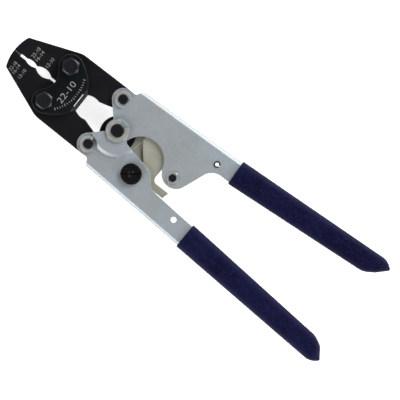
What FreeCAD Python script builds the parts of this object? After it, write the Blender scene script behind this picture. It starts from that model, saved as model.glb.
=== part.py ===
"""Compound-action ratchet crimping tool for wire terminals, lying flat with its jaws closed.

Millimetres. X runs along the tool from the nose to the grips, Y runs across it towards the
upper handle and Z is up. The shape is worked out about the centre pivot and then moved, so
that the origin is the middle of the underside of the whole tool's box.
"""
import math
import os

import FreeCAD, Part

Vec = FreeCAD.Vector

# linkage: centre pivot at (0, 0), mirrored about the tool's axis
JAW_PIN_X = -8.8
JAW_PIN_Y = 16.7
LINK_BOLT_X = -44.8
LINK_BOLT_Y = 12.7

# fits and gaps
RUNNING = 0.05            # radial, pin in hole
OPEN_PIVOT = 0.36         # radial, upper link bolt in the upper jaw
LAYER_GAP = 0.125         # between faces that slide past each other
JAW_FACE_GAP = 0.02       # half of the gap between the closed jaw faces

# plates and layers
JAW_THICK = 6.35
SHEET = 1.6               # handle channels
JOGGLE_GAP = 0.2          # between the two handles where they cross
LINK_THICK = 3.0
LEVER_SIDE = 1.5
LEVER_CLEAR = 0.275       # lever side plate to the inside of the channel
HUB_EXTRA = 0.1           # hub plate over the lever side plate
CHANNEL_IN = JAW_THICK / 2 + LAYER_GAP
CHANNEL_OUT = CHANNEL_IN + SHEET
CORE_THICK = 2 * (CHANNEL_IN - LEVER_CLEAR - LEVER_SIDE - LAYER_GAP)   # sector and pawl
JOGGLE_IN = CHANNEL_OUT + JOGGLE_GAP
JOGGLE_OUT = JOGGLE_IN + SHEET
LINK_IN = JAW_THICK / 2 + LAYER_GAP
LINK_OUT = LINK_IN + LINK_THICK
LEVER_IN = CORE_THICK / 2 + LAYER_GAP
LEVER_OUT = LEVER_IN + LEVER_SIDE

# jaws
NOSE_X = -77.3
NOSE_RADIUS = 30.0
NOSE_CORNER = (-74.9, 11.0)
NOSE_CHAMFER = (0.5, 0.9)
SHOULDER = (-43.8, 23.1)
SHOULDER_ROUND = 12.0
ARM_RADIUS = 6.8
ARM_FOOT_TURN = -74.0     # degrees, where the round of the arm meets the throat
THROAT_REAR = (-19.2, 6.6)
THROAT_MIDDLE = (-22.8, 6.95)
THROAT_FRONT = (-27.5, 5.4)
JAW_EASE = 0.35
SLOT_FRONT_X = -72.6
SLOT_HALF = 0.7
SLOT_STEP = 0.5
NECK_HALF = 0.65
SMALL_NEST_X = -64.6
SMALL_NEST_HALF_LENGTH = 3.7
SMALL_NEST_HALF_HEIGHT = 1.55
LARGE_NEST_X = -55.6
LARGE_NEST_HALF_LENGTH = 5.3
LARGE_NEST_HALF_HEIGHT = 2.45
REAR_SLOT_HALF = 0.7
REAR_SLOT_END_X = -43.5

# link plates, bolts and nuts
LINK_LOBE = 7.4
LINK_REAR_X = -27.0
LINK_REAR_HALF = 5.6
LINK_REAR_TURN = 62.0     # degrees, rear end of each lobe's round
LINK_FRONT_TURN = 200.0   # degrees, front end of it
LINK_BACK = (-33.0, 13.8)
LINK_FLANK = (-49.0, 6.3)
LINK_NOTCH_X = -46.6
LINK_NOTCH_HALF = 1.6
LINK_EASE = 0.3
LINK_REAR_BEVEL = 2.0
BOLT_RADIUS = 3.0
HEX_FLATS = 9.5
HEX_HEIGHT = 3.6
HEX_TOP_RADIUS = 4.1      # flat circle on top of a head or nut
HEX_CHAMFER = 30.0        # degrees
BOLT_TIP = 0.9            # thread showing past the nut

# pins and their rings
JAW_PIN_RADIUS = 3.0
CLIP_WIDTH = 2.05
CLIP_RADIUS = JAW_PIN_RADIUS + CLIP_WIDTH
CLIP_THICK = 1.0
CLIP_MOUTH = 116.0        # degrees
UPPER_CLIP_FACING = -8.0
LOWER_CLIP_FACING = 38.0
CENTRE_RADIUS = 4.0
RING_WIDTH = 2.7
RING_RADIUS = CENTRE_RADIUS + RING_WIDTH
RING_THICK = 1.1
RING_MOUTH = 80.0
RING_FACING = 82.0
PIN_STAND = 0.8           # pin end beyond its clip
PIN_EASE = 0.4
STOP_PIN = (42.6, -1.8)
STOP_PIN_RADIUS = 2.0
STOP_COLLAR_RADIUS = STOP_PIN_RADIUS + 1.6
STOP_COLLAR_THICK = 0.5
STOP_HEX_FLATS = 4.4
STOP_HEX_HEIGHT = 0.6
STOP_HEX_TURN = 8.2       # degrees, a corner from the tool's axis
STOP_HEX_EASE = 0.15
ROLL_PIN_X = 58.2
ROLL_PIN_Y = 20.7
ROLL_PIN_RADIUS = 1.9
ROLL_PIN_WALL = 0.8
ROLL_PIN_STAND = 0.4
ROLL_PIN_SLIT = 0.5
TIE_HOLE_RADIUS = 1.7

# handles
HEEL_X = -2.2             # outer front corner of each handle
HEEL_Y = 27.6
HEEL_ROUND = 0.6
NOTCH_X = -4.4
NOTCH_ROUND = 1.8
LOBE_FLANK = (-13.8, 12.3)
HANDLE_LOBE = CLIP_RADIUS + 1.65
CENTRE_LOBE = RING_RADIUS + 0.4
NOTCH_Y = JAW_PIN_Y + HANDLE_LOBE
BEND_INSIDE = 0.8
BEND_RADIUS = BEND_INSIDE + SHEET
JOGGLE_RADIUS = 15.6      # foot of the raised round about the centre pivot
CLIP_SEAT = CLIP_RADIUS + 0.35   # flat round the lower jaw pin, beside the raised round
WINDOW_X = 21.2
WINDOW_Y = -4.7
WINDOW_RADIUS = 13.6
STOP_LOBE = (43.0, 0.9)
STOP_LOBE_RADIUS = 8.4
HANDLE_END_X = 163.0
HANDLE_END_ROUNDS = (6.0, 2.6)   # inner corner, outer corner
UPPER_BELLY = [(-6.0, 3.8), (0.0, 0.0), (35.5, -2.5), STOP_LOBE, (51.4, -1.0), (58.1, 16.7, 9.4)]
LOWER_BELLY = [(-5.6, -4.4), (0.0, 0.0), (6.8, 2.0), (8.6, -2.6, 2.4), (30.4, -7.1, 4.0),
               (36.9, -15.0, 5.0)]
BAR_OVERRUN = 30.0        # trimming bars reach this far past the sheet
BAR_DEPTH = 60.0
LONG_EDGE = 40.0

# grips: (x, y) at the front and near the rear of each straight edge
GRIP_FRONT_X = 69.4
UPPER_GRIP_EDGE = ((GRIP_FRONT_X, 31.7), (165.0, 38.1))
UPPER_GRIP_INSIDE = ((GRIP_FRONT_X + 0.8, 15.7), (165.0, 24.1))
LOWER_GRIP_EDGE = ((GRIP_FRONT_X - 0.4, -32.05), (165.0, -36.5))
LOWER_GRIP_INSIDE = ((GRIP_FRONT_X, -15.9), (165.0, -22.5))
GRIP_WALL = 1.15
GRIP_SIDE_WALL = 1.7
GRIP_HALF = CHANNEL_OUT + GRIP_SIDE_WALL
GRIP_ROUND = 3.0
GRIP_FIT = 0.05
GRIP_TIP_X = HANDLE_END_X + 14.4
GRIP_TIP_SET = 4.2        # tip in from the line of the outer edge
GRIP_TIP_ROUND = 1.4
GRIP_TIP_HALF = 1.8       # half thickness at the tip
GRIP_HEEL_X = GRIP_TIP_X - 5.0    # where the outer edge turns in
GRIP_HEEL_ROUND = 9.0
UPPER_GRIP_END = (12.8, 6.6, 6.6)   # inner edge's turn and the corner of its slant, back from
LOWER_GRIP_END = (11.0, 5.2, 7.2)   # the tip, and how far that corner stands in from the tip
GRIP_TURN_ROUND = 12.0
GRIP_SLANT_ROUND = 6.0
GRIP_NOSE = 9.0           # length over which the end thins to its tip
GRIP_NOSE_BULGE = 0.3     # share of that length, at the middle of its curve
GRIP_NOSE_FULL = 0.72     # share of the half thickness there

# ratchet
HUB_X = 1.15
HUB_Y = -1.5
HUB_RADIUS = 10.8
SECTOR_RADIUS = 14.05     # tips of the teeth
SECTOR_CAM_RADIUS = 17.3  # above the relief flat
RELIEF_TURN = -11.7       # degrees, the way the relief flat faces
TOOTH_DEPTH = 1.3
TOOTH_COUNT = 9
TOOTH_PITCH = 5.0         # degrees
TOOTH_START = -17.0       # degrees, first tooth tip below the axis
TOOTH_UNDERCUT = 0.6      # degrees
SECTOR_TOP = 62.0         # degrees, the far side of the sector
DOWEL_RADIUS = 0.9
DOWEL_CIRCLE = CENTRE_RADIUS + 1.6
SECTOR_BOSS = DOWEL_CIRCLE + DOWEL_RADIUS + 0.9
DOWEL_TURNS = (95.0, 275.0)
PAWL_PIN = (15.5, -9.5)
PAWL_PIN_RADIUS = 1.5
PAWL_PIN_DEPTH = 0.9      # how far the pin enters each side of the channel
PAWL_BOSS = 3.0
PAWL_GAP = 0.12           # pawl face to the tips of the teeth
PAWL_FACE_LOW = 10.0      # degrees, from the middle of the face to its ends
PAWL_FACE_HIGH = 36.0
PAWL_FACE_ROUNDS = (1.0, 0.8)
PAWL_FRONT = 1.2          # front flank starts this far before the pin
PAWL_BACK_X = 23.6
PAWL_BACK_ROUND = 2.0
PAWL_WAIST = (24.8, -4.5, 2.0)
DRIVE_PIN = (20.8, 1.6)
DRIVE_PIN_RADIUS = 1.1
DRIVE_PIN_COVER = 0.6     # steel left over each end of the drive pin
DRIVE_SLOT_GAP = 0.25

# release lever and its screw
SCREW = (22.0, -15.0)
RELEASE_TURN = 8.0        # degrees, full stroke of the lever
PAWL_RATIO = 1.45         # pawl turn for each degree of the lever
LEVER_OUTLINE = [(16.4, -15.0), (20.2, -9.0, 3.0), (24.2, -6.2, 1.5), (15.7, 4.2, 0.4),
                 (15.3, 10.6, 2.0), (25.0, 12.6, 8.0), (33.6, 7.0, 6.0), (34.4, -3.0, 8.0),
                 (34.2, -10.5, 3.0), (46.2, -10.5, 0.4), (45.2, -14.9, 0.4), (37.4, -14.9, 4.0),
                 (28.2, -20.6)]
LEVER_BOSS = 6.0
LEVER_TAIL_X = 37.0       # from here back the two sides are joined
LEVER_TAIL_BOX = 25.0
SCREW_HEAD_RADIUS = 6.35
SCREW_HEAD_HEIGHT = 2.4
SCREW_BARREL = 3.2
SCREW_ROUND = 0.7
SCREW_SLOT = 1.3
SCREW_SLOT_DEPTH = 0.9
SCREW_SLOT_TURN = 38.0    # degrees
SCREW_DIMPLE = 1.9
SCREW_DIMPLE_FOOT = 0.5
SCREW_DIMPLE_DEPTH = 1.3
KEY_HOLE_REACH = 4.0
KEY_HOLE_RADIUS = 0.8
KEY_HOLE_DEPTH = 1.0
SPRING_COIL = 4.7
SPRING_WIRE = 0.4
SPRING_TURNS = 1.75
SPRING_STEPS = 8          # bends in each turn
SPRING_SIDE_GAP = 0.25    # coil to the lever's side plates
SPRING_PITCH = 2 * (LEVER_IN - SPRING_WIRE - SPRING_SIDE_GAP) / SPRING_TURNS
SPRING_WEB_LEG = 9.0
SPRING_TAIL_LEG = 11.0
BEND_SHARE = 0.45         # share of the shorter run that a wire's bend takes


# --- drawing helpers ---------------------------------------------------------------------

class Trace:
    """Chain of straight stretches and arcs, on the upper side (1) or mirrored below (-1)."""

    def __init__(self, start, side):
        self.side = side
        self.last = self.place(start)
        self.edges = []

    def place(self, point):
        return Vec(point[0], self.side * point[1], 0)

    def to(self, *points):
        for point in points:
            here = self.place(point)
            self.edges.append(Part.LineSegment(self.last, here).toShape())
            self.last = here

    def bow(self, middle, end):
        here = self.place(end)
        self.edges.append(Part.Arc(self.last, self.place(middle), here).toShape())
        self.last = here


def polar(radius, turn, centre=(0, 0)):
    """Point at a distance and an angle in degrees from a centre."""
    angle = math.radians(turn)
    return Vec(centre[0] + radius * math.cos(angle), centre[1] + radius * math.sin(angle), 0)


def turned(point, centre, turn):
    """A point turned about a centre, in degrees."""
    arm = Vec(point[0] - centre[0], point[1] - centre[1], 0)
    angle = math.degrees(math.atan2(arm.y, arm.x)) + turn
    return polar(arm.Length, angle, centre)


def corner_arc(before, at, after, radius):
    """Start, middle and end of the arc that rounds one corner."""
    a = (before - at).normalize()
    b = (after - at).normalize()
    half = a.getAngle(b) / 2
    centre = at + (a + b).normalize() * (radius / math.sin(half))
    reach = radius / math.tan(half)
    middle = centre + (at - centre).normalize() * radius
    return at + a * reach, middle, at + b * reach


def outline(points):
    """Closed wire through (x, y) or (x, y, corner radius) points."""
    corners = [Vec(point[0], point[1], 0) for point in points]
    count = len(points)
    stops = []
    for i, point in enumerate(points):
        if len(point) == 3:
            stops.append(corner_arc(corners[i - 1], corners[i], corners[(i + 1) % count], point[2]))
        else:
            stops.append((corners[i],))
    edges = []
    for i, stop in enumerate(stops):
        if len(stop) == 3:
            edges.append(Part.Arc(*stop).toShape())
        following = stops[(i + 1) % count][0]
        if stop[-1].distanceToPoint(following) > 1e-6:
            edges.append(Part.LineSegment(stop[-1], following).toShape())
    return Part.Wire(edges)


def bent_wire(points, radius):
    """Round wire along straight runs, each corner turned as wide as its two runs allow."""
    edges = []
    last = points[0]
    for before, at, after in zip(points, points[1:], points[2:]):
        half = (before - at).getAngle(after - at) / 2
        reach = BEND_SHARE * min(at.distanceToPoint(before), at.distanceToPoint(after))
        arc = corner_arc(before, at, after, reach * math.tan(half))
        edges.append(Part.LineSegment(last, arc[0]).toShape())
        edges.append(Part.Arc(*arc).toShape())
        last = arc[2]
    edges.append(Part.LineSegment(last, points[-1]).toShape())
    section = Part.Wire(Part.makeCircle(radius, points[0], points[1] - points[0]))
    return Part.Wire(edges).makePipeShell([section], True, False)


def slab(wire, low, high):
    """Flat piece between two heights, from a closed wire at height zero."""
    face = Part.Face(wire)
    face.translate(Vec(0, 0, low))
    return face.extrude(Vec(0, 0, high - low))


def disc(centre, radius, low, high):
    return Part.makeCylinder(radius, high - low, Vec(centre[0], centre[1], low))


def hexagon(centre, flats, low, high):
    """Hexagonal prism with one flat facing along Y."""
    reach = flats / math.sqrt(3)
    corners = [polar(reach, 60 * i, centre) for i in range(6)]
    return slab(outline([(c.x, c.y) for c in corners]), low, high)


def flat_edges(shape, height):
    """Edges that lie wholly at one height."""
    return [e for e in shape.Edges
            if abs(e.BoundBox.ZMin - height) < 1e-6 and abs(e.BoundBox.ZMax - height) < 1e-6]


def ease_faces(shape, size, heights):
    """Small chamfer round every edge at the given heights."""
    edges = []
    for height in heights:
        edges += flat_edges(shape, height)
    return shape.makeChamfer(size, edges)


def both_sides(shape):
    """The piece and its mirror image below the mid plane."""
    return [shape, shape.mirror(Vec(0, 0, 0), Vec(0, 0, 1))]


def wedge(centre, start, stop, reach, low, high):
    """Pie slice from one angle to another, in degrees."""
    corners = [polar(reach, turn, centre) for turn in (start, (start + stop) / 2, stop)]
    return slab(outline([centre] + [(c.x, c.y) for c in corners]), low, high)


def jaw_pin_at(side):
    return (JAW_PIN_X, side * JAW_PIN_Y)


def link_bolt_at(side):
    return (LINK_BOLT_X, side * LINK_BOLT_Y)


# --- jaws --------------------------------------------------------------------------------

def jaw_wire(side):
    """Outline of one jaw: nose, back, arm, throat behind the link, slot and nests."""
    nose_bow = NOSE_RADIUS - math.sqrt(NOSE_RADIUS ** 2 - (NOSE_CORNER[1] / 2) ** 2)
    arm_top = (JAW_PIN_X, JAW_PIN_Y + ARM_RADIUS)
    shoulder = corner_arc(Vec(*NOSE_CORNER), Vec(*SHOULDER), Vec(*arm_top), SHOULDER_ROUND)
    small_front_x = SMALL_NEST_X - SMALL_NEST_HALF_LENGTH
    trace = Trace((NOSE_X, JAW_FACE_GAP), side)
    trace.bow((NOSE_X + nose_bow, NOSE_CORNER[1] / 2),
              (NOSE_CORNER[0] - NOSE_CHAMFER[0], NOSE_CORNER[1] - NOSE_CHAMFER[1]))
    trace.to(NOSE_CORNER, shoulder[0])
    trace.bow(shoulder[1], shoulder[2])
    trace.to(arm_top)
    trace.bow((JAW_PIN_X + ARM_RADIUS, JAW_PIN_Y),
              polar(ARM_RADIUS, ARM_FOOT_TURN, (JAW_PIN_X, JAW_PIN_Y)))
    trace.to(THROAT_REAR)
    trace.bow(THROAT_MIDDLE, THROAT_FRONT)
    trace.to((REAR_SLOT_END_X, REAR_SLOT_HALF), (LARGE_NEST_X + LARGE_NEST_HALF_LENGTH, REAR_SLOT_HALF))
    trace.bow((LARGE_NEST_X, LARGE_NEST_HALF_HEIGHT), (LARGE_NEST_X - LARGE_NEST_HALF_LENGTH, NECK_HALF))
    trace.bow((SMALL_NEST_X, SMALL_NEST_HALF_HEIGHT), (small_front_x, NECK_HALF))
    trace.to((small_front_x - SLOT_STEP, SLOT_HALF), (SLOT_FRONT_X, SLOT_HALF),
             (SLOT_FRONT_X, JAW_FACE_GAP), (NOSE_X, JAW_FACE_GAP))
    return Part.Wire(trace.edges)


def jaw(side, bolt_gap):
    half = JAW_THICK / 2
    body = slab(jaw_wire(side), -half, half)
    body = ease_faces(body, JAW_EASE, (-half, half))
    body = body.cut(disc(jaw_pin_at(side), JAW_PIN_RADIUS + RUNNING, -half, half))
    return body.cut(disc(link_bolt_at(side), BOLT_RADIUS + bolt_gap, -half, half))


# --- link plates, bolts and nuts ------------------------------------------------------------

def link_plate():
    """Front plate: two lobes joined by a web with a straight rear edge and a front notch."""
    lobe = (LINK_BOLT_X, LINK_BOLT_Y)
    edges = []
    for side in (1, -1):
        trace = Trace((LINK_REAR_X, 0), side)
        trace.to((LINK_REAR_X, LINK_REAR_HALF))
        trace.bow(LINK_BACK, polar(LINK_LOBE, LINK_REAR_TURN, lobe))
        trace.bow(polar(LINK_LOBE, (LINK_REAR_TURN + LINK_FRONT_TURN) / 2, lobe),
                  polar(LINK_LOBE, LINK_FRONT_TURN, lobe))
        trace.bow(LINK_FLANK, (LINK_NOTCH_X, LINK_NOTCH_HALF))
        trace.to((LINK_NOTCH_X, 0))
        edges += trace.edges
    wire = Part.Wire(Part.__sortEdges__(edges))
    plate = slab(wire, LINK_IN, LINK_OUT).removeSplitter()
    plate = ease_faces(plate, LINK_EASE, (LINK_OUT,))
    reach = LINK_REAR_HALF + 2
    bevel = Part.makePolygon([Vec(LINK_REAR_X - LINK_REAR_BEVEL, -reach, LINK_OUT),
                              Vec(LINK_REAR_X + 1, -reach, LINK_OUT),
                              Vec(LINK_REAR_X + 1, -reach, LINK_OUT - LINK_REAR_BEVEL - 1),
                              Vec(LINK_REAR_X - LINK_REAR_BEVEL, -reach, LINK_OUT)])
    plate = plate.cut(Part.Face(bevel).extrude(Vec(0, 2 * reach, 0)))
    for side in (1, -1):
        plate = plate.cut(disc(link_bolt_at(side), BOLT_RADIUS + RUNNING, LINK_IN, LINK_OUT))
    return plate


def hex_end(side, low, high):
    """Hexagon with its outer face turned to a chamfered circle."""
    body = hexagon(link_bolt_at(side), HEX_FLATS, low, high)
    foot = HEX_TOP_RADIUS + (high - low) / math.tan(math.radians(HEX_CHAMFER))
    x, y = link_bolt_at(side)
    return body.common(Part.makeCone(foot, HEX_TOP_RADIUS, high - low, Vec(x, y, low)))


def link_bolt(side):
    """Hexagon head in front, plain shank, tip past the nut behind."""
    x, y = link_bolt_at(side)
    head = hex_end(side, LINK_OUT, LINK_OUT + HEX_HEIGHT)
    shank_low = -(LINK_OUT + HEX_HEIGHT + BOLT_TIP)
    shank = disc((x, y), BOLT_RADIUS, shank_low, LINK_OUT)
    shank = ease_faces(shank, PIN_EASE, (shank_low,))
    return head.fuse(shank).removeSplitter()


def link_nut(side):
    """Hexagon nut behind the rear plate."""
    nut = hex_end(side, LINK_OUT, LINK_OUT + HEX_HEIGHT)
    nut = nut.cut(disc(link_bolt_at(side), BOLT_RADIUS, LINK_OUT, LINK_OUT + HEX_HEIGHT))
    return nut.mirror(Vec(0, 0, 0), Vec(0, 0, 1))


# --- pins, clips and rings ------------------------------------------------------------------

def plain_pin(centre, radius, half_length):
    pin = disc(centre, radius, -half_length, half_length)
    return ease_faces(pin, PIN_EASE, (-half_length, half_length))


def open_ring(centre, inner, outer, mouth, facing, low, high):
    """Flat ring with a gap, its ends rounded."""
    ring = disc(centre, outer, low, high).cut(disc(centre, inner, low, high))
    ring = ring.cut(wedge(centre, facing - mouth / 2, facing + mouth / 2, 2 * outer, low, high))
    for turn in (facing - mouth / 2, facing + mouth / 2):
        end = polar((inner + outer) / 2, turn, centre)
        ring = ring.fuse(disc(end, (outer - inner) / 2, low, high))
    return ring.removeSplitter()


def jaw_pin_clips(side, facing):
    clip = open_ring(jaw_pin_at(side), JAW_PIN_RADIUS + RUNNING, CLIP_RADIUS, CLIP_MOUTH, facing,
                     CHANNEL_OUT, CHANNEL_OUT + CLIP_THICK)
    return both_sides(clip)


def centre_rings():
    ring = open_ring((0, 0), CENTRE_RADIUS + RUNNING, RING_RADIUS, RING_MOUTH, RING_FACING,
                     JOGGLE_OUT, JOGGLE_OUT + RING_THICK)
    return both_sides(ring)


def stop_pin():
    """Pin across the upper channel, with a hexagon end over each collar."""
    half = CHANNEL_OUT + STOP_COLLAR_THICK
    top = half + STOP_HEX_HEIGHT
    end = hexagon(STOP_PIN, STOP_HEX_FLATS, half, top)
    end.rotate(Vec(*STOP_PIN, 0), Vec(0, 0, 1), STOP_HEX_TURN)
    end = ease_faces(end, STOP_HEX_EASE, (top,))
    shank = disc(STOP_PIN, STOP_PIN_RADIUS, -half, half)
    return shank.fuse(both_sides(end)).removeSplitter()


def stop_collars():
    low = CHANNEL_OUT
    collar = disc(STOP_PIN, STOP_COLLAR_RADIUS, low, low + STOP_COLLAR_THICK)
    collar = collar.cut(disc(STOP_PIN, STOP_PIN_RADIUS, low, low + STOP_COLLAR_THICK))
    return both_sides(collar)


def roll_pin():
    """Rolled spring pin with its slit towards the grip."""
    half = CHANNEL_OUT + ROLL_PIN_STAND
    at = (ROLL_PIN_X, ROLL_PIN_Y)
    pin = disc(at, ROLL_PIN_RADIUS, -half, half).cut(disc(at, ROLL_PIN_RADIUS - ROLL_PIN_WALL, -half, half))
    slit = Part.makeBox(2 * ROLL_PIN_RADIUS, ROLL_PIN_SLIT, 2 * half,
                        Vec(at[0], at[1] - ROLL_PIN_SLIT / 2, -half))
    return pin.cut(slit)


# --- handles --------------------------------------------------------------------------------

def along(line, x):
    """Height of a straight line at x."""
    (x0, y0), (x1, y1) = line
    return y0 + (y1 - y0) * (x - x0) / (x1 - x0)


def tang(edge, inside, side, grow, front_x, end_x):
    """Corners of the channel inside a grip, from the inner front round to the outer front."""
    wall = side * (GRIP_WALL - grow)
    return [(front_x, along(inside, front_x) + wall),
            (end_x, along(inside, end_x) + wall, HANDLE_END_ROUNDS[0]),
            (end_x, along(edge, end_x) - wall, HANDLE_END_ROUNDS[1]),
            (front_x, along(edge, front_x) - wall)]


def neck_points(side):
    """Front end of a handle: outer corner, notch and the top of the pin lobe."""
    return [(HEEL_X, side * HEEL_Y, HEEL_ROUND), (NOTCH_X, side * NOTCH_Y, NOTCH_ROUND),
            (JAW_PIN_X, side * NOTCH_Y), jaw_pin_at(side), (LOBE_FLANK[0], side * LOBE_FLANK[1])]


def upper_rear():
    """The upper handle bends outwards a little at its grip."""
    return tang(UPPER_GRIP_EDGE, UPPER_GRIP_INSIDE, 1, 0, GRIP_FRONT_X, HANDLE_END_X)


def lower_rear():
    """The lower handle's outer edge is one straight line, with no corner at the grip."""
    return tang(LOWER_GRIP_EDGE, LOWER_GRIP_INSIDE, -1, 0, GRIP_FRONT_X, HANDLE_END_X)[:-1]


def channel(belly, rear, lobes, side):
    """Folded sheet: two side plates joined by a web along the outer edge."""
    neck = neck_points(side)
    body = slab(outline(belly + rear + neck), -CHANNEL_OUT, CHANNEL_OUT)
    for centre, radius in lobes:
        body = body.fuse(disc(centre, radius, -CHANNEL_OUT, CHANNEL_OUT))
    outer_edge = [neck[0]] + rear[:1:-1]
    folded = long_bar(outer_edge, side, 0, CHANNEL_OUT, BEND_RADIUS)
    hollow = long_bar(outer_edge, side, SHEET, CHANNEL_IN, BEND_INSIDE)
    return body.removeSplitter().common(folded).cut(hollow)


def long_bar(outer_edge, side, inset, half, rounding):
    """Wide bar behind the outer edge of a handle, open at both ends, its long edges rounded."""
    edge = [(p[0], p[1] - side * inset) for p in outer_edge]
    front_x = HEEL_X - BAR_OVERRUN
    rear_x = HANDLE_END_X + BAR_OVERRUN
    front = (front_x, along(edge[:2], front_x))
    rear = (rear_x, along(edge[-2:], rear_x))
    corners = [front] + edge[1:-1] + [rear, (rear_x, -side * BAR_DEPTH), (front_x, -side * BAR_DEPTH)]
    bar = slab(outline(corners), -half, half)
    return bar.makeFillet(rounding, [e for e in bar.Edges if is_web_edge(e, side)])


def is_web_edge(edge, side):
    """Long straight edge that runs along the folded side."""
    box = edge.BoundBox
    flat = box.ZLength < 1e-6 and abs(box.ZMax) > CHANNEL_IN - 1e-6
    return flat and edge.Length > LONG_EDGE and side * (box.YMin + box.YMax) / 2 > NOTCH_Y


def upper_handle():
    lobes = [(jaw_pin_at(1), HANDLE_LOBE), ((0, 0), CENTRE_LOBE), (STOP_LOBE, STOP_LOBE_RADIUS)]
    body = channel(UPPER_BELLY, upper_rear(), lobes, 1)
    holes = [(jaw_pin_at(1), JAW_PIN_RADIUS + RUNNING), ((0, 0), CENTRE_RADIUS + RUNNING),
             ((WINDOW_X, WINDOW_Y), WINDOW_RADIUS), (STOP_PIN, STOP_PIN_RADIUS),
             ((ROLL_PIN_X, ROLL_PIN_Y), ROLL_PIN_RADIUS)]
    holes += [(at, DOWEL_RADIUS) for at in dowel_places()]
    for centre, radius in holes:
        body = body.cut(disc(centre, radius, -CHANNEL_OUT, CHANNEL_OUT))
    return body


def joggle(plain):
    """Side plates raised round the centre pivot, to pass outside the upper handle."""
    rise = JOGGLE_OUT - CHANNEL_OUT
    slant = SHEET * (math.sqrt(2) - 1)
    foot_in = JOGGLE_RADIUS - slant
    outer = Part.makeCone(JOGGLE_RADIUS, JOGGLE_RADIUS - rise, rise, Vec(0, 0, CHANNEL_OUT))
    outer = outer.cut(disc(jaw_pin_at(-1), CLIP_SEAT, CHANNEL_OUT, JOGGLE_OUT))
    inner = Part.makeCone(foot_in, foot_in - rise, rise, Vec(0, 0, CHANNEL_IN))
    outline_slab = slab(outline(LOWER_BELLY + lower_rear() + neck_points(-1)), CHANNEL_OUT, JOGGLE_OUT)
    outline_slab = outline_slab.fuse(disc((0, 0), CENTRE_LOBE, CHANNEL_OUT, JOGGLE_OUT))
    raised = outer.common(outline_slab)
    flip = (Vec(0, 0, 0), Vec(0, 0, 1))
    body = plain.fuse([raised, raised.mirror(*flip)])
    return body.cut([inner, inner.mirror(*flip)]).removeSplitter()


def lower_handle():
    lobes = [(jaw_pin_at(-1), HANDLE_LOBE), ((0, 0), CENTRE_LOBE)]
    body = joggle(channel(LOWER_BELLY, lower_rear(), lobes, -1))
    holes = [(jaw_pin_at(-1), JAW_PIN_RADIUS + RUNNING), ((0, 0), CENTRE_RADIUS + RUNNING),
             (SCREW, SCREW_BARREL), ((ROLL_PIN_X, -ROLL_PIN_Y), TIE_HOLE_RADIUS)]
    for centre, radius in holes:
        body = body.cut(disc(centre, radius, -JOGGLE_OUT, JOGGLE_OUT))
    blind = CHANNEL_IN + PAWL_PIN_DEPTH
    return body.cut(disc(PAWL_PIN, PAWL_PIN_RADIUS, -blind, blind))


def grip_nose():
    """Side view of a grip swept across the tool: even thickness, then a rounded nose."""
    front_x = GRIP_FRONT_X - BAR_OVERRUN
    nose_x = GRIP_TIP_X - GRIP_NOSE
    middle_x = GRIP_TIP_X - GRIP_NOSE * GRIP_NOSE_BULGE
    middle = GRIP_HALF * GRIP_NOSE_FULL
    trace = Trace((front_x, -GRIP_HALF), 1)
    trace.to((nose_x, -GRIP_HALF))
    trace.bow((middle_x, -middle), (GRIP_TIP_X, -GRIP_TIP_HALF))
    trace.to((GRIP_TIP_X, GRIP_TIP_HALF))
    trace.bow((middle_x, middle), (nose_x, GRIP_HALF))
    trace.to((front_x, GRIP_HALF), (front_x, -GRIP_HALF))
    side_view = slab(Part.Wire(trace.edges), -BAR_DEPTH, BAR_DEPTH)
    side_view.rotate(Vec(0, 0, 0), Vec(1, 0, 0), 90)
    return side_view


def grip(edge, inside, end, side):
    """Dipped sleeve with a lopsided rounded end, hollow round the channel."""
    turn_back, slant_back, slant_set = end
    turn_x = GRIP_TIP_X - turn_back
    tip_y = along(edge, GRIP_TIP_X) - side * GRIP_TIP_SET
    points = [inside[0], (turn_x, along(inside, turn_x), GRIP_TURN_ROUND),
              (GRIP_TIP_X - slant_back, tip_y - side * slant_set, GRIP_SLANT_ROUND),
              (GRIP_TIP_X, tip_y, GRIP_TIP_ROUND),
              (GRIP_HEEL_X, along(edge, GRIP_HEEL_X), GRIP_HEEL_ROUND), edge[0]]
    body = slab(outline(points), -GRIP_HALF, GRIP_HALF)
    far_x = GRIP_TIP_X + BAR_OVERRUN
    bar = slab(outline([inside[0], (far_x, along(inside, far_x)), (far_x, along(edge, far_x)), edge[0]]),
               -GRIP_HALF, GRIP_HALF)
    bar = bar.makeFillet(GRIP_ROUND, [e for e in bar.Edges if e.BoundBox.XLength > LONG_EDGE])
    body = body.common(bar).common(grip_nose())
    depth = CHANNEL_OUT + GRIP_FIT
    corners = tang(edge, inside, side, GRIP_FIT, GRIP_FRONT_X - BAR_OVERRUN, HANDLE_END_X + GRIP_FIT)
    pocket = slab(outline(corners), -depth, depth)
    return body.cut(pocket.common(long_bar(corners[:1:-1], side, 0, depth, BEND_RADIUS + GRIP_FIT)))


# --- ratchet --------------------------------------------------------------------------------

def dowel_places():
    """Two dowels that key the hub plates and the sector to the upper handle."""
    return [polar(DOWEL_CIRCLE, turn) for turn in DOWEL_TURNS]


def pierce_hub(shape, low, high):
    """Pivot bore and dowel holes."""
    shape = shape.cut(disc((0, 0), CENTRE_RADIUS + RUNNING, low, high))
    for at in dowel_places():
        shape = shape.cut(disc(at, DOWEL_RADIUS, low, high))
    return shape


def hub_plate():
    plate = disc((HUB_X, HUB_Y), HUB_RADIUS, LEVER_IN, LEVER_OUT + HUB_EXTRA)
    return pierce_hub(plate, LEVER_IN, LEVER_OUT + HUB_EXTRA)


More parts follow.
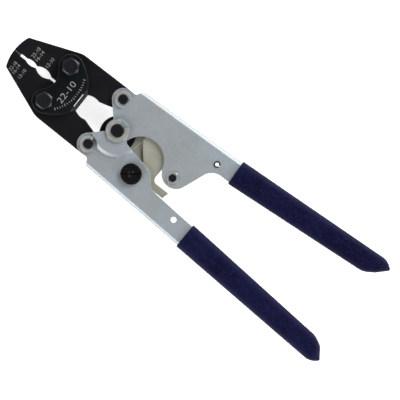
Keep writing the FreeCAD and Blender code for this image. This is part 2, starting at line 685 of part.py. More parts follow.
def ratchet_sector():
    """Toothed plate round a boss: a cam round, a relief flat beside the pawl, then saw teeth."""
    half = CORE_THICK / 2
    root = SECTOR_RADIUS - TOOTH_DEPTH
    flat_top = RELIEF_TURN + math.degrees(math.acos(SECTOR_RADIUS / SECTOR_CAM_RADIUS))
    start = polar(SECTOR_CAM_RADIUS, SECTOR_TOP)
    trace = Trace(start, 1)
    trace.bow(polar(SECTOR_CAM_RADIUS, (SECTOR_TOP + flat_top) / 2), polar(SECTOR_CAM_RADIUS, flat_top))
    trace.to(polar(SECTOR_RADIUS, RELIEF_TURN))
    for i in range(TOOTH_COUNT):
        turn = TOOTH_START - i * TOOTH_PITCH
        trace.to(polar(SECTOR_RADIUS, turn), polar(root, turn - TOOTH_UNDERCUT))
    trace.to(polar(SECTOR_RADIUS, TOOTH_START - TOOTH_COUNT * TOOTH_PITCH), (0, 0), start)
    body = slab(Part.Wire(trace.edges), -half, half).fuse(disc((0, 0), SECTOR_BOSS, -half, half))
    return pierce_hub(body.removeSplitter(), -half, half)


def sector_dowels():
    half = CHANNEL_OUT
    return [disc(at, DOWEL_RADIUS, -half, half) for at in dowel_places()]


def pawl():
    """Swinging catch beside the sector, with a slot for the lever's drive pin."""
    half = CORE_THICK / 2
    face = SECTOR_RADIUS + PAWL_GAP
    low = polar(face / math.cos(math.radians(PAWL_FACE_LOW)), RELIEF_TURN - PAWL_FACE_LOW)
    high = polar(face / math.cos(math.radians(PAWL_FACE_HIGH)), RELIEF_TURN + PAWL_FACE_HIGH)
    points = [(PAWL_PIN[0] - PAWL_FRONT, PAWL_PIN[1]), (low.x, low.y, PAWL_FACE_ROUNDS[0]),
              (high.x, high.y, PAWL_FACE_ROUNDS[1]), (PAWL_BACK_X, high.y, PAWL_BACK_ROUND),
              PAWL_WAIST, (PAWL_PIN[0] + PAWL_BOSS, PAWL_PIN[1])]
    body = slab(outline(points), -half, half)
    body = body.fuse(disc(PAWL_PIN, PAWL_BOSS, -half, half)).removeSplitter()
    body = body.cut(disc(PAWL_PIN, PAWL_PIN_RADIUS + RUNNING, -half, half))
    return body.cut(drive_slot(half))


def drive_slot(half):
    """Slot in the pawl along the drive pin's way, from rest to the lever's full stroke."""
    start = Vec(*DRIVE_PIN)
    end = turned(turned(DRIVE_PIN, SCREW, -RELEASE_TURN), PAWL_PIN, RELEASE_TURN * PAWL_RATIO)
    width = DRIVE_PIN_RADIUS + DRIVE_SLOT_GAP
    along_slot = (end - start).normalize()
    across = Vec(-along_slot.y, along_slot.x, 0) * width
    corners = [start + across, start - across, end - across, end + across]
    slot = slab(outline([(c.x, c.y) for c in corners]), -half, half)
    return slot.fuse([disc(start, width, -half, half), disc(end, width, -half, half)])


def pawl_pin():
    half = CHANNEL_IN + PAWL_PIN_DEPTH
    return disc(PAWL_PIN, PAWL_PIN_RADIUS, -half, half)


# --- release lever ----------------------------------------------------------------------------

def release_lever():
    """Two side plates on the slotted screw, joined at the finger tail."""
    wire = outline(LEVER_OUTLINE)
    side = slab(wire, LEVER_IN, LEVER_OUT).fuse(disc(SCREW, LEVER_BOSS, LEVER_IN, LEVER_OUT))
    side = side.removeSplitter().cut(disc(SCREW, SCREW_BARREL + RUNNING, LEVER_IN, LEVER_OUT))
    side = side.cut(disc(DRIVE_PIN, DRIVE_PIN_RADIUS, LEVER_IN, LEVER_OUT - DRIVE_PIN_COVER))
    tail_box = Part.makeBox(LEVER_TAIL_BOX, LEVER_TAIL_BOX, 2 * LEVER_IN,
                            Vec(LEVER_TAIL_X, -LEVER_TAIL_BOX, -LEVER_IN))
    tail = slab(wire, -LEVER_IN, LEVER_IN).common(tail_box)
    front, rear = both_sides(side)
    return front.fuse([rear, tail]).removeSplitter()


def drive_pin():
    half = LEVER_OUT - DRIVE_PIN_COVER
    return disc(DRIVE_PIN, DRIVE_PIN_RADIUS, -half, half)


def lever_screw():
    """Broad slotted head with a centre dimple, on a plain barrel."""
    low = CHANNEL_OUT
    high = low + SCREW_HEAD_HEIGHT
    head = disc(SCREW, SCREW_HEAD_RADIUS, low, high)
    head = head.makeFillet(SCREW_ROUND, flat_edges(head, high))
    slot = Part.makeBox(4 * SCREW_HEAD_RADIUS, SCREW_SLOT, SCREW_SLOT_DEPTH,
                        Vec(-2 * SCREW_HEAD_RADIUS, -SCREW_SLOT / 2, 0))
    slot.rotate(Vec(0, 0, 0), Vec(0, 0, 1), SCREW_SLOT_TURN)
    slot.translate(Vec(SCREW[0], SCREW[1], high - SCREW_SLOT_DEPTH))
    dimple_low = high - SCREW_DIMPLE_DEPTH
    dimple = Part.makeCone(SCREW_DIMPLE_FOOT, SCREW_DIMPLE, SCREW_DIMPLE_DEPTH,
                           Vec(SCREW[0], SCREW[1], dimple_low))
    head = head.cut(slot).cut(dimple)
    return head.fuse(disc(SCREW, SCREW_BARREL, -low, low)).removeSplitter()


def lever_screw_nut():
    """Round nut behind the rear plate, on the end of the barrel, with two key holes."""
    low = CHANNEL_OUT
    high = low + SCREW_HEAD_HEIGHT
    nut = disc(SCREW, SCREW_HEAD_RADIUS, low, high)
    nut = nut.makeFillet(SCREW_ROUND, flat_edges(nut, high))
    for turn in (0, 180):
        at = polar(KEY_HOLE_REACH, turn, SCREW)
        nut = nut.cut(disc(at, KEY_HOLE_RADIUS, high - KEY_HOLE_DEPTH, high))
    return nut.mirror(Vec(0, 0, 0), Vec(0, 0, 1))


def lever_spring():
    """Torsion spring round the screw barrel, one leg to the web, one under the tail."""
    steps = round(SPRING_TURNS * SPRING_STEPS)
    low = -SPRING_TURNS * SPRING_PITCH / 2
    outer = SPRING_COIL / math.cos(math.pi / SPRING_STEPS)
    points = []
    for i in range(steps):
        corner = polar(outer, (i + 0.5) * 360 / SPRING_STEPS, SCREW)
        corner.z = low + (i + 0.5) * SPRING_PITCH / SPRING_STEPS
        points.append(corner)
    web_end = polar(SPRING_COIL, 0, SCREW) + Vec(0, -SPRING_WEB_LEG, low)
    tail_end = polar(SPRING_COIL, SPRING_TURNS * 360, SCREW) + Vec(SPRING_TAIL_LEG, 0, -low)
    return bent_wire([web_end] + points + [tail_end], SPRING_WIRE)


# --- the whole tool -----------------------------------------------------------------------------

def build():
    """Every piece by name, each as a list of solids."""
    front_link = link_plate()
    hub_front, hub_rear = both_sides(hub_plate())
    link_front, link_rear = both_sides(front_link)
    jaw_pin_half = CHANNEL_OUT + CLIP_THICK + PIN_STAND
    return {
        "lower_handle": [lower_handle()],
        "lower_grip": [grip(LOWER_GRIP_EDGE, LOWER_GRIP_INSIDE, LOWER_GRIP_END, -1)],
        "centre_pin": [plain_pin((0, 0), CENTRE_RADIUS, JOGGLE_OUT + RING_THICK + PIN_STAND)],
        "centre_pin_rings": centre_rings(),
        "lower_jaw_pin": [plain_pin(jaw_pin_at(-1), JAW_PIN_RADIUS, jaw_pin_half)],
        "lower_jaw_pin_clips": jaw_pin_clips(-1, LOWER_CLIP_FACING),
        "lever_screw": [lever_screw()],
        "lever_screw_nut": [lever_screw_nut()],
        "pawl_pin": [pawl_pin()],
        "lever_spring": [lever_spring()],
        "upper_handle": [upper_handle()],
        "upper_grip": [grip(UPPER_GRIP_EDGE, UPPER_GRIP_INSIDE, UPPER_GRIP_END, 1)],
        "upper_jaw_pin": [plain_pin(jaw_pin_at(1), JAW_PIN_RADIUS, jaw_pin_half)],
        "upper_jaw_pin_clips": jaw_pin_clips(1, UPPER_CLIP_FACING),
        "front_hub_plate": [hub_front],
        "rear_hub_plate": [hub_rear],
        "ratchet_sector": [ratchet_sector()],
        "sector_dowels": sector_dowels(),
        "stop_pin": [stop_pin()],
        "stop_pin_collars": stop_collars(),
        "roll_pin": [roll_pin()],
        "lower_jaw": [jaw(-1, RUNNING)],
        "upper_jaw": [jaw(1, OPEN_PIVOT)],
        "front_link_plate": [link_front],
        "rear_link_plate": [link_rear],
        "link_bolts": [link_bolt(1), link_bolt(-1)],
        "link_nuts": [link_nut(1), link_nut(-1)],
        "release_lever": [release_lever()],
        "lever_drive_pin": [drive_pin()],
        "pawl": [pawl()],
    }


def write(pieces):
    """Stand the tool on its underside, centred, and write one file per piece."""
    os.makedirs("parts", exist_ok=True)
    whole = Part.makeCompound([solid for solids in pieces.values() for solid in solids])
    box = whole.optimalBoundingBox(False)
    shift = Vec(-(box.XMin + box.XMax) / 2, -(box.YMin + box.YMax) / 2, -box.ZMin)
    print("shift %.4f %.4f %.4f" % (shift.x, shift.y, shift.z))
    print("size %.2f %.2f %.2f" % (box.XLength, box.YLength, box.ZLength))
    for name, solids in pieces.items():
        shape = solids[0] if len(solids) == 1 else Part.makeCompound(solids)
        shape.translate(shift)
        shape.exportStep("parts/%s.step" % name)
        facts = (name, len(shape.Solids), shape.isValid(), shape.Volume)
        print("%-20s solids %d valid %s volume %.1f" % facts)


write(build())
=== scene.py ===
import bpy, bmesh, math
from mathutils import Matrix, Vector


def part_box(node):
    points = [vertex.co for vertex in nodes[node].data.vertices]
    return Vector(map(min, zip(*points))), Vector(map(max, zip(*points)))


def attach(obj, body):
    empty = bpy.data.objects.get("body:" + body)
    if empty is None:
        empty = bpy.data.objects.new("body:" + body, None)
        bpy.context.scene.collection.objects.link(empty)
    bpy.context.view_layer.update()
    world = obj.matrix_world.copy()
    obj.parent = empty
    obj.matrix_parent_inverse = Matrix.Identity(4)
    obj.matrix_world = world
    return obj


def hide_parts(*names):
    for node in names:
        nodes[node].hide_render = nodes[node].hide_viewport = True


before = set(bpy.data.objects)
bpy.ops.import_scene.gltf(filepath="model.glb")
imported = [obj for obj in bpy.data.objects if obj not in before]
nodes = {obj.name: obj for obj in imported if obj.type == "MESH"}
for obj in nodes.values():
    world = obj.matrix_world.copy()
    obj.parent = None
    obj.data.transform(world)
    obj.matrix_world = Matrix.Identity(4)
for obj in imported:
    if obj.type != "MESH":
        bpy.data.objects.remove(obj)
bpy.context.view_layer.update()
mm = 0.001

pivotLow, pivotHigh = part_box("centre_pin")
pivot = (pivotLow + pivotHigh) / 2   # the centre pivot, which all places below are counted from
print("frame loaded:", len(nodes), "nodes")


def placeFromPivot(x, y):
    return Vector((pivot.x + x * mm, pivot.y + y * mm, 0))


# ---- shared effects, as shader node groups

def startGroup(name, inputs, outputs):
    group = bpy.data.node_groups.new(name, "ShaderNodeTree")
    for label, kind, value in inputs:
        socket = group.interface.new_socket(name=label, in_out="INPUT", socket_type=kind)
        socket.default_value = value
    for label, kind in outputs:
        group.interface.new_socket(name=label, in_out="OUTPUT", socket_type=kind)
    return group, group.nodes.new("NodeGroupInput"), group.nodes.new("NodeGroupOutput")


def mathNode(tree, operation, first, second=None, clamp=False):
    node = tree.nodes.new("ShaderNodeMath")
    node.operation = operation
    node.use_clamp = clamp
    for socket, value in zip(node.inputs, (first, second)):
        if value is None:
            continue
        if isinstance(value, (int, float)):
            socket.default_value = value
        else:
            tree.links.new(value, socket)
    return node.outputs[0]


def noiseAt(tree, scale, detail, vector):
    node = tree.nodes.new("ShaderNodeTexNoise")
    node.inputs["Detail"].default_value = detail
    tree.links.new(vector, node.inputs["Vector"])
    if isinstance(scale, (int, float)):
        node.inputs["Scale"].default_value = scale
    else:
        tree.links.new(scale, node.inputs["Scale"])
    return node.outputs["Fac"]


groupLook = {
    "fineDetail": 3.0,
    "driftDetail": 4.0,
    "breakupDetail": 4.0,
    "bevelSamples": 6,
    "wornGain": 9.0,         # how soon a rounded edge counts as worn
    "sideTilt": 0.62,        # a wall counts as upright below this share of its normal along Z
    "sideGain": 2.6,
}


def makeGrainGroup():
    # fine grain over a slow drift: Height is for bump, Fine and Drift are for colour and gloss
    group, given, result = startGroup(
        "surfaceGrain",
        [("Fine Scale", "NodeSocketFloat", 2500.0), ("Drift Scale", "NodeSocketFloat", 60.0),
         ("Drift Share", "NodeSocketFloat", 0.3)],
        [("Height", "NodeSocketFloat"), ("Fine", "NodeSocketFloat"), ("Drift", "NodeSocketFloat")])
    place = group.nodes.new("ShaderNodeTexCoord").outputs["Object"]
    fine = noiseAt(group, given.outputs["Fine Scale"], groupLook["fineDetail"], place)
    drift = noiseAt(group, given.outputs["Drift Scale"], groupLook["driftDetail"], place)
    driftPart = mathNode(group, "MULTIPLY", drift, given.outputs["Drift Share"])
    height = mathNode(group, "ADD", fine, driftPart)
    group.links.new(height, result.inputs["Height"])
    group.links.new(fine, result.inputs["Fine"])
    group.links.new(drift, result.inputs["Drift"])
    return group


def makeEdgeGroup():
    # Normal rounds the sharp edges off, Worn is 1 on them, broken up by noise,
    # and the side mask is 1 on the upright walls, which take a darker colour: painted shade, partly also
    # the bare steel a press or a saw leaves on a cut
    group, given, result = startGroup(
        "edgeWear",
        [("Radius", "NodeSocketFloat", 0.0002), ("Breakup", "NodeSocketFloat", 900.0),
         ("Amount", "NodeSocketFloat", 1.0)],
        [("Normal", "NodeSocketVector"), ("Worn", "NodeSocketFloat"), ("Side", "NodeSocketFloat")])
    rounded = group.nodes.new("ShaderNodeBevel")
    rounded.samples = groupLook["bevelSamples"]
    group.links.new(given.outputs["Radius"], rounded.inputs["Radius"])
    surface = group.nodes.new("ShaderNodeNewGeometry")
    compare = group.nodes.new("ShaderNodeVectorMath")
    compare.operation = "DOT_PRODUCT"
    group.links.new(rounded.outputs["Normal"], compare.inputs[0])
    group.links.new(surface.outputs["Normal"], compare.inputs[1])
    turned = mathNode(group, "SUBTRACT", 1.0, compare.outputs["Value"])
    place = group.nodes.new("ShaderNodeTexCoord").outputs["Object"]
    patchy = noiseAt(group, given.outputs["Breakup"], groupLook["breakupDetail"], place)
    edge = mathNode(group, "MULTIPLY", turned, groupLook["wornGain"], clamp=True)
    worn = mathNode(group, "MULTIPLY", edge, patchy)
    worn = mathNode(group, "MULTIPLY", worn, given.outputs["Amount"], clamp=True)
    tilt = group.nodes.new("ShaderNodeSeparateXYZ")
    group.links.new(surface.outputs["Normal"], tilt.inputs[0])
    flatness = mathNode(group, "ABSOLUTE", tilt.outputs["Z"])
    upright = mathNode(group, "SUBTRACT", groupLook["sideTilt"], flatness)
    side = mathNode(group, "MULTIPLY", upright, groupLook["sideGain"], clamp=True)
    group.links.new(rounded.outputs["Normal"], result.inputs["Normal"])
    group.links.new(worn, result.inputs["Worn"])
    group.links.new(side, result.inputs["Side"])
    return group


grainGroup = makeGrainGroup()
edgeGroup = makeEdgeGroup()
print("node groups made")


# ---- materials

def useGroup(tree, group, **values):
    node = tree.nodes.new("ShaderNodeGroup")
    node.node_tree = group
    for label, value in values.items():
        node.inputs[label.replace("_", " ")].default_value = value
    return node


def mixColour(tree, factor, first, second):
    node = tree.nodes.new("ShaderNodeMix")
    node.data_type = "RGBA"
    tree.links.new(factor, node.inputs["Factor"])
    for socket, value in zip((node.inputs[6], node.inputs[7]), (first, second)):
        if isinstance(value, tuple):
            socket.default_value = (*value, 1)
        else:
            tree.links.new(value, socket)
    return node.outputs[2]


def spread(tree, value, low, high, outLow, outHigh):
    node = tree.nodes.new("ShaderNodeMapRange")
    node.inputs["From Min"].default_value = low
    node.inputs["From Max"].default_value = high
    node.inputs["To Min"].default_value = outLow
    node.inputs["To Max"].default_value = outHigh
    tree.links.new(value, node.inputs["Value"])
    return node.outputs["Result"]


def paintedGlintLine(tree, look):
    # 1 along a short straight line across the tool: a painted highlight, the glint on the edge of the link
    # plate's rear bevel
    place = tree.nodes.new("ShaderNodeSeparateXYZ")
    tree.links.new(tree.nodes.new("ShaderNodeTexCoord").outputs["Object"], place.inputs[0])
    middle = placeFromPivot(look["lineX"], 0)
    alongX = mathNode(tree, "ABSOLUTE", mathNode(tree, "SUBTRACT", place.outputs["X"], middle.x))
    alongY = mathNode(tree, "ABSOLUTE", mathNode(tree, "SUBTRACT", place.outputs["Y"], middle.y))
    thin = mathNode(tree, "LESS_THAN", alongX, look["lineWidth"] * mm / 2)
    short = mathNode(tree, "LESS_THAN", alongY, look["lineLength"] * mm / 2)
    return mathNode(tree, "MULTIPLY", thin, short)


driftSpan = (0.35, 0.65)     # the part of each noise's range that a finish uses
speckleSpan = (0.45, 0.75)
roughSpan = (0.3, 0.7)


def makeFinish(name, look):
    # one surface finish: two tones drifting into each other, grain, rounded and worn edges
    material = bpy.data.materials.new(name)
    material.use_nodes = True
    tree = material.node_tree
    shader = tree.nodes["Principled BSDF"]
    grain = useGroup(tree, grainGroup, Fine_Scale=look["fineScale"], Drift_Scale=look["driftScale"],
                     Drift_Share=look["driftShare"])
    edges = useGroup(tree, edgeGroup, Radius=look["edgeRadius"], Amount=look["wear"])
    drift = spread(tree, grain.outputs["Drift"], *driftSpan, 0.0, 1.0)
    colour = mixColour(tree, drift, look["dark"], look["light"])
    speckle = spread(tree, grain.outputs["Fine"], *speckleSpan, 0.0, look["speckle"])
    colour = mixColour(tree, speckle, colour, look["fleck"])
    colour = mixColour(tree, edges.outputs["Worn"], colour, look["bare"])
    # upright walls take the side colour: painted shade, partly also bare steel of the cut edge
    if "side" in look:
        colour = mixColour(tree, edges.outputs["Side"], colour, look["side"])
    # painted highlight: a bright line where the link plate's rear bevel catches the light
    if "glintColour" in look:
        colour = mixColour(tree, paintedGlintLine(tree, look), colour, look["glintColour"])
    tree.links.new(colour, shader.inputs["Base Color"])
    rough = spread(tree, grain.outputs["Fine"], *roughSpan, *look["rough"])
    tree.links.new(rough, shader.inputs["Roughness"])
    bump = tree.nodes.new("ShaderNodeBump")
    bump.inputs["Strength"].default_value = look["bump"]
    bump.inputs["Distance"].default_value = look["bumpDepth"]
    tree.links.new(grain.outputs["Height"], bump.inputs["Height"])
    tree.links.new(edges.outputs["Normal"], bump.inputs["Normal"])
    tree.links.new(bump.outputs["Normal"], shader.inputs["Normal"])
    shader.inputs["Metallic"].default_value = look["metallic"]
    shader.inputs["Specular IOR Level"].default_value = look.get("specular", 0.5)
    shader.inputs["Coat Weight"].default_value = look.get("coat", 0.0)
    shader.inputs["Coat Roughness"].default_value = look.get("coatRough", 0.3)
    shader.inputs["Specular Tint"].default_value = (*look.get("glossTint", (1.0, 1.0, 1.0)), 1)
    return material


# side colour: painted shade on the upright walls, partly also bare sheared steel
zincPlate = {"dark": (0.320, 0.340, 0.350), "light": (0.340, 0.390, 0.425), "fleck": (0.44, 0.46, 0.48),
             "bare": (0.70, 0.71, 0.70), "side": (0.175, 0.175, 0.168), "speckle": 0.4, "wear": 0.35,
             "metallic": 0.62, "rough": (0.46, 0.60), "fineScale": 1500.0, "driftScale": 48.0,
             "driftShare": 0.25,
             "bump": 0.10, "bumpDepth": 0.00006, "edgeRadius": 0.00022}

# side colour: painted shade, near black, on the clip's upright walls
brightClip = {"dark": (0.65, 0.65, 0.59), "light": (0.82, 0.82, 0.75), "fleck": (0.90, 0.90, 0.85),
              "side": (0.05, 0.05, 0.045),
              "bare": (0.92, 0.92, 0.88), "speckle": 0.3, "wear": 1.0, "metallic": 0.85,
              "rough": (0.28, 0.42), "fineScale": 1800.0, "driftScale": 160.0, "driftShare": 0.3,
              "bump": 0.10, "bumpDepth": 0.00005, "edgeRadius": 0.00018}

# side colour: painted shade, near black, on the upright walls
tanSteel = {"dark": (0.38, 0.370, 0.300), "light": (0.46, 0.458, 0.382), "fleck": (0.53, 0.53, 0.46),
            "side": (0.06, 0.056, 0.042),
            "bare": (0.60, 0.60, 0.54), "speckle": 0.3, "wear": 0.0, "metallic": 0.6,
            "rough": (0.42, 0.56), "fineScale": 2200.0, "driftScale": 90.0, "driftShare": 0.3,
            "bump": 0.10, "bumpDepth": 0.00006, "edgeRadius": 0.00015}

blackJaw = {"dark": (0.0048, 0.0047, 0.0062), "light": (0.0074, 0.0072, 0.0092),
            "fleck": (0.012, 0.012, 0.014), "bare": (0.10, 0.10, 0.105), "speckle": 0.35, "wear": 0.3,
            "metallic": 0.0, "rough": (0.30, 0.42), "fineScale": 2400.0, "driftScale": 70.0,
            "driftShare": 0.4, "bump": 0.16, "bumpDepth": 0.00007, "edgeRadius": 0.00025,
            "specular": 0.16}

# the link plate's black carries a painted highlight, a bright line along its rear bevel
blackLink = dict(blackJaw, dark=(0.0030, 0.0042, 0.0056), light=(0.0052, 0.0070, 0.0088),
                 edgeRadius=0.00035, wear=0.6, rough=(0.28, 0.38), glintColour=(0.60, 0.61, 0.60),
                 lineX=-29.05, lineWidth=0.42, lineLength=9.0)

blackBolt = dict(blackJaw, dark=(0.0062, 0.0066, 0.0084), light=(0.0100, 0.0106, 0.0130),
                 bare=(0.16, 0.17, 0.18), rough=(0.24, 0.34), edgeRadius=0.00020, specular=0.3)

blackPin = dict(blackBolt, dark=(0.0035, 0.0030, 0.0060), light=(0.0060, 0.0052, 0.0095),
                rough=(0.30, 0.44), wear=0.3)

blackScrew = dict(blackBolt, dark=(0.0016, 0.0017, 0.0018), light=(0.0030, 0.0031, 0.0032),
                  rough=(0.30, 0.42), wear=0.12, specular=0.18)

blackHub = dict(blackJaw, dark=(0.0020, 0.0020, 0.0022), light=(0.0036, 0.0036, 0.0038), wear=0.3)

navyVinyl = {"dark": (0.0020, 0.0020, 0.0140), "light": (0.0042, 0.0042, 0.0240),
             "fleck": (0.014, 0.015, 0.058), "bare": (0.014, 0.016, 0.050), "speckle": 0.6,
             "wear": 0.0, "metallic": 0.0, "rough": (0.50, 0.64), "glossTint": (0.5, 0.52, 1.0),
             "fineScale": 900.0, "driftScale": 45.0, "driftShare": 1.2, "bump": 0.22, "bumpDepth": 0.00009,
             "edgeRadius": 0.0003, "specular": 0.11}

drawnWire = dict(brightClip, dark=(0.42, 0.42, 0.42), light=(0.55, 0.55, 0.55))

paleMark = {"dark": (0.24, 0.24, 0.225), "light": (0.38, 0.38, 0.355), "fleck": (0.16, 0.16, 0.155),
            "bare": (0.5, 0.5, 0.48), "speckle": 0.8, "wear": 0.0, "metallic": 0.0, "rough": (0.5, 0.7),
            "fineScale": 1300.0, "driftScale": 600.0, "driftShare": 0.3, "bump": 0.1,
            "bumpDepth": 0.00003, "edgeRadius": 0.00002}

finishes = {
    "zincPlate": zincPlate, "brightClip": brightClip, "tanSteel": tanSteel, "blackJaw": blackJaw,
    "blackLink": blackLink, "blackBolt": blackBolt, "blackPin": blackPin, "blackScrew": blackScrew,
    "blackHub": blackHub, "navyVinyl": navyVinyl, "drawnWire": drawnWire, "paleMark": paleMark,
}
madeFinishes = {name: makeFinish(name, look) for name, look in finishes.items()}

nodeFinishes = {
    "zincPlate": ["upper_handle", "lower_handle"],
    "brightClip": ["centre_pin_rings", "lower_jaw_pin_clips", "upper_jaw_pin_clips", "stop_pin_collars"],
    "tanSteel": ["ratchet_sector", "pawl", "release_lever"],
    "blackJaw": ["upper_jaw", "lower_jaw"],
    "blackLink": ["front_link_plate", "rear_link_plate"],
    "blackBolt": ["link_bolts", "link_nuts"],
    "blackPin": ["centre_pin", "lower_jaw_pin", "upper_jaw_pin", "stop_pin", "roll_pin", "pawl_pin",
                 "sector_dowels", "lever_drive_pin"],
    "blackScrew": ["lever_screw", "lever_screw_nut"],
    "blackHub": ["front_hub_plate", "rear_hub_plate"],
    "navyVinyl": ["upper_grip", "lower_grip"],
    "drawnWire": ["lever_spring"],
}


def paintNodes():
    for finish, names in nodeFinishes.items():
        for name in names:
            node = nodes[name]
            if not node.material_slots:
                node.data.materials.append(None)
            for slot in node.material_slots:
                slot.material = madeFinishes[finish]


paintNodes()
print("materials on", sum(len(names) for names in nodeFinishes.values()), "nodes")


# ---- dipped grips

gripLook = {
    "stations": 84,
    "around": 64,
    "crowding": 1.7,         # how much closer the stations stand towards the tip
    "squareFront": 3.6,      # 2 is an ellipse, more is squarer
    "squareTip": 2.4,
    "tipStart": 0.90,        # share of the length where the section begins to round
    "wall": 0.0009,
    "mouthRound": 0.00035,
    "clearTip": 0.00004,
    "leanStations": 6,       # the mouth's slant is gone after one part in this many
    "mouthSegments": 3,
    "mouthAngle": 50,
}


def spanAt(cutter, x):
    # lowest and highest corner of the CAD grip's section at x
    cut = bmesh.ops.bisect_plane(cutter, geom=cutter.verts[:] + cutter.edges[:] + cutter.faces[:],
                                 dist=1e-7, plane_co=(x, 0, 0), plane_no=(1, 0, 0))
    found = [item.co for item in cut["geom_cut"] if isinstance(item, bmesh.types.BMVert)]
    low = Vector((x, min(co.y for co in found), min(co.z for co in found)))
    high = Vector((x, max(co.y for co in found), max(co.z for co in found)))
    return low, high


def rounded(value, power):
    return math.copysign(abs(value) ** (2 / power), value)


def makeGrip(name, node, body, slant, outerSide):
    look = gripLook
    low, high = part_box(node)
    frontX = low.x + slant
    length = high.x - look["clearTip"] - frontX
    cutter = bmesh.new()
    cutter.from_mesh(nodes[node].data)
    skin = bmesh.new()
    turnLayer = skin.verts.layers.float.new("turn")
    bmesh.ops.create_circle(skin, cap_ends=False, segments=look["around"], radius=1)
    for vert in skin.verts:
        vert[turnLayer] = math.atan2(vert.co.y, vert.co.x)
    loop = skin.verts[:]
    rim = skin.edges[:]
    for i in range(look["stations"]):
        share = i / (look["stations"] - 1)
        along = 1 - (1 - share) ** look["crowding"]
        cornerLow, cornerHigh = spanAt(cutter, frontX + length * along)
        centre = (cornerLow + cornerHigh) / 2
        half = (cornerHigh - cornerLow) / 2
        late = max(0.0, (along - look["tipStart"]) / (1 - look["tipStart"]))
        power = look["squareFront"] + (look["squareTip"] - look["squareFront"]) * late
        if i:
            grown = bmesh.ops.extrude_edge_only(skin, edges=rim)["geom"]
            loop = [item for item in grown if isinstance(item, bmesh.types.BMVert)]
            rim = [item for item in grown if isinstance(item, bmesh.types.BMEdge)]
        for vert in loop:
            turn = vert[turnLayer]
            y = rounded(math.cos(turn), power)
            z = rounded(math.sin(turn), power)
            lean = slant * (1 + y * outerSide) / 2 * max(0.0, 1 - share * look["leanStations"])
            vert.co = (centre.x - lean, centre.y + y * half.y, centre.z + z * half.z)
    bmesh.ops.edgeloop_fill(skin, edges=rim)
    bmesh.ops.recalc_face_normals(skin, faces=skin.faces)
    for face in skin.faces:
        face.smooth = True
    mesh = bpy.data.meshes.new(name)
    skin.to_mesh(mesh)
    skin.free()
    cutter.free()
    grip = bpy.data.objects.new(name, mesh)
    bpy.context.scene.collection.objects.link(grip)
    wall = grip.modifiers.new("wall", "SOLIDIFY")
    wall.thickness = look["wall"]
    wall.offset = -1
    mouth = grip.modifiers.new("mouth", "BEVEL")
    mouth.width = look["mouthRound"]
    mouth.segments = look["mouthSegments"]
    mouth.limit_method = "ANGLE"
    mouth.angle_limit = math.radians(look["mouthAngle"])
    mesh.materials.append(madeFinishes["navyVinyl"])
    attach(grip, body)
    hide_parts(node)
    return grip


makeGrip("upperGripSleeve", "upper_grip", "upper_handle", 0.8 * mm, 1)
makeGrip("lowerGripSleeve", "lower_grip", "lower_handle", 0.4 * mm, -1)
print("grips made")


# ---- wire size marks, pale numbers on the jaw faces, and a plain row of ticks on the link plate

markLook = {
    "slim": -0.012,          # takes a little off the strokes
    "depth": 0.00006,
    "proud": 0.00002,
    # text, x and y of its middle from the pivot, length, height, all in mm
    "upper_jaw": [("22-18", -66.2, 6.6, 7.0, 2.2), ("16-14", -63.1, 6.4, 6.8, 2.1),
                  ("12-10", -56.0, 7.0, 6.3, 2.1)],
    "lower_jaw": [("22-18", -72.0, -8.0, 6.0, 2.0), ("16-14", -69.4, -8.2, 6.0, 2.0),
                  ("12-10", -65.0, -8.3, 6.0, 2.0)],
    "front_link_plate": [("22-10", -37.5, -0.7, 14.6, 3.7)],
}


def makeMark(name, text, node, body, x, y, length, height):
    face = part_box(node)[1].z
    font = bpy.data.curves.new(name, "FONT")
    font.body = text
    font.extrude = markLook["depth"] / 2
    font.offset = markLook["slim"]
    writer = bpy.data.objects.new(name + "Text", font)
    bpy.context.scene.collection.objects.link(writer)
    bpy.context.view_layer.update()
    mesh = bpy.data.meshes.new_from_object(writer)
    bpy.data.objects.remove(writer)
    corners = [vert.co.copy() for vert in mesh.vertices]
    low = Vector((min(co.x for co in corners), min(co.y for co in corners), 0))
    high = Vector((max(co.x for co in corners), max(co.y for co in corners), 0))
    fit = Matrix.Diagonal((length * mm / (high.x - low.x), height * mm / (high.y - low.y), 1, 1))
    centred = fit @ Matrix.Translation(-(low + high) / 2)
    spot = placeFromPivot(x, y)
    spot.z = face + markLook["proud"] - markLook["depth"] / 2
    mesh.transform(Matrix.Translation(spot) @ Matrix.Rotation(math.radians(90), 4, "Z") @ centred)
    mesh.name = name
    mesh.materials.clear()
    mesh.materials.append(madeFinishes["paleMark"])
    mark = bpy.data.objects.new(name, mesh)
    bpy.context.scene.collection.objects.link(mark)
    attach(mark, body)
    return mark


for node, body, slot in (("upper_jaw", "upper_jaw", "jaw_black"), ("lower_jaw", "lower_jaw", "jaw_black"),
                         ("front_link_plate", "links", "link_black")):
    for i, (text, x, y, length, height) in enumerate(markLook[node]):
        makeMark(node + "_mark_" + str(i + 1), text, node, body, x, y, length, height)

tickLook = {"centre": (-55.7, 2.1), "radius": 23.9, "from": -38.0, "to": 23.0, "count": 17,
            "length": 1.6, "width": 0.32, "longEvery": 4, "shortShare": 0.6}


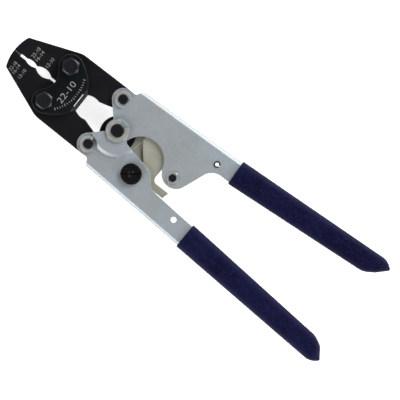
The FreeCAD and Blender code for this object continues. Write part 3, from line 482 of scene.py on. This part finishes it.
def makeTicks():
    look = tickLook
    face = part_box("front_link_plate")[1].z
    spot = placeFromPivot(*look["centre"])
    spot.z = face + markLook["proud"] - markLook["depth"] / 2
    ticks = bmesh.new()
    for i in range(look["count"]):
        turn = look["from"] + (look["to"] - look["from"]) * i / (look["count"] - 1)
        long = look["length"] * (1.0 if i % look["longEvery"] == 0 else look["shortShare"])
        size = Matrix.Diagonal((long * mm, look["width"] * mm, markLook["depth"], 1))
        out = Matrix.Translation((look["radius"] * mm, 0, 0))
        swing = Matrix.Rotation(math.radians(turn), 4, "Z")
        bmesh.ops.create_cube(ticks, size=1, matrix=Matrix.Translation(spot) @ swing @ out @ size)
    mesh = bpy.data.meshes.new("linkPlateTicks")
    ticks.to_mesh(mesh)
    ticks.free()
    mesh.materials.append(madeFinishes["paleMark"])
    piece = bpy.data.objects.new("linkPlateTicks", mesh)
    bpy.context.scene.collection.objects.link(piece)
    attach(piece, "links")


makeTicks()
print("marks made")


# ---- floor, light and camera

studio = {
    "floorSize": 6.0,
    "floorTone": 0.92,
    "floorRough": 0.9,
    "floorSpecular": 0.1,
    "floorGlow": 0.7,           # the floor is a faint light table, which softens the shadows
    "skyAbove": (0.125, 0.128, 0.134),
    "skyAround": (0.70, 0.70, 0.69),
    "skyTurn": (0.35, 0.85),    # share of the way up where the sky goes from around to above
    "lights": [   # name, place from the middle of the tool, size, watts
        ("keySoftbox", (0.15, 1.35, 0.75), 1.0, 30.0),
        ("fillSoftbox", (-0.25, -1.4, 0.7), 1.0, 21.0),
        ("rearSoftbox", (1.5, 0.1, 0.6), 0.8, 14.0),
    ],
    "aim": (63.25, -1.93),      # middle of the view, from the pivot, in mm
    "distance": 2.0,
    "width": 0.2352,            # what the view shows, side to side
    "sensor": 36.0,
    "farClip": 20,
    "turn": 38.2,
}


def makeFloor():
    material = bpy.data.materials.new("paleFloor")
    material.use_nodes = True
    shader = material.node_tree.nodes["Principled BSDF"]
    tone = studio["floorTone"]
    shader.inputs["Base Color"].default_value = (tone, tone, tone, 1)
    shader.inputs["Roughness"].default_value = studio["floorRough"]
    shader.inputs["Specular IOR Level"].default_value = studio["floorSpecular"]
    shader.inputs["Emission Color"].default_value = (1, 1, 1, 1)
    shader.inputs["Emission Strength"].default_value = studio["floorGlow"]
    floor = bmesh.new()
    bmesh.ops.create_grid(floor, x_segments=1, y_segments=1, size=studio["floorSize"] / 2)
    mesh = bpy.data.meshes.new("floor")
    floor.to_mesh(mesh)
    floor.free()
    mesh.materials.append(material)
    piece = bpy.data.objects.new("floor", mesh)
    bpy.context.scene.collection.objects.link(piece)


def makeSky():
    world = bpy.data.worlds.new("studioSky")
    world.use_nodes = True
    tree = world.node_tree
    height = tree.nodes.new("ShaderNodeSeparateXYZ")
    tree.links.new(tree.nodes.new("ShaderNodeTexCoord").outputs["Generated"], height.inputs[0])
    up = spread(tree, height.outputs["Z"], *studio["skyTurn"], 0.0, 1.0)
    colour = mixColour(tree, up, studio["skyAround"], studio["skyAbove"])
    tree.links.new(colour, tree.nodes["Background"].inputs["Color"])
    bpy.context.scene.world = world


def makeLight(name, place, size, watts):
    lamp = bpy.data.lights.new(name, "AREA")
    lamp.shape = "SQUARE"
    lamp.size = size
    lamp.energy = watts
    light = bpy.data.objects.new(name, lamp)
    light.location = place
    light.rotation_euler = (-Vector(place)).to_track_quat("-Z", "Y").to_euler()
    light.visible_camera = False
    bpy.context.scene.collection.objects.link(light)


def makeCamera():
    lens = bpy.data.cameras.new("camera")
    lens.sensor_width = studio["sensor"]
    lens.lens = studio["sensor"] * studio["distance"] / studio["width"]
    lens.clip_end = studio["farClip"]
    camera = bpy.data.objects.new("camera", lens)
    aim = placeFromPivot(*studio["aim"])
    camera.location = (aim.x, aim.y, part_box("upper_handle")[1].z + studio["distance"])
    camera.rotation_euler = (0, 0, math.radians(studio["turn"]))
    bpy.context.scene.collection.objects.link(camera)
    bpy.context.scene.camera = camera


makeFloor()
makeSky()
for light in studio["lights"]:
    makeLight(*light)
makeCamera()
bpy.context.scene.view_settings.view_transform = "Standard"
print("studio made")
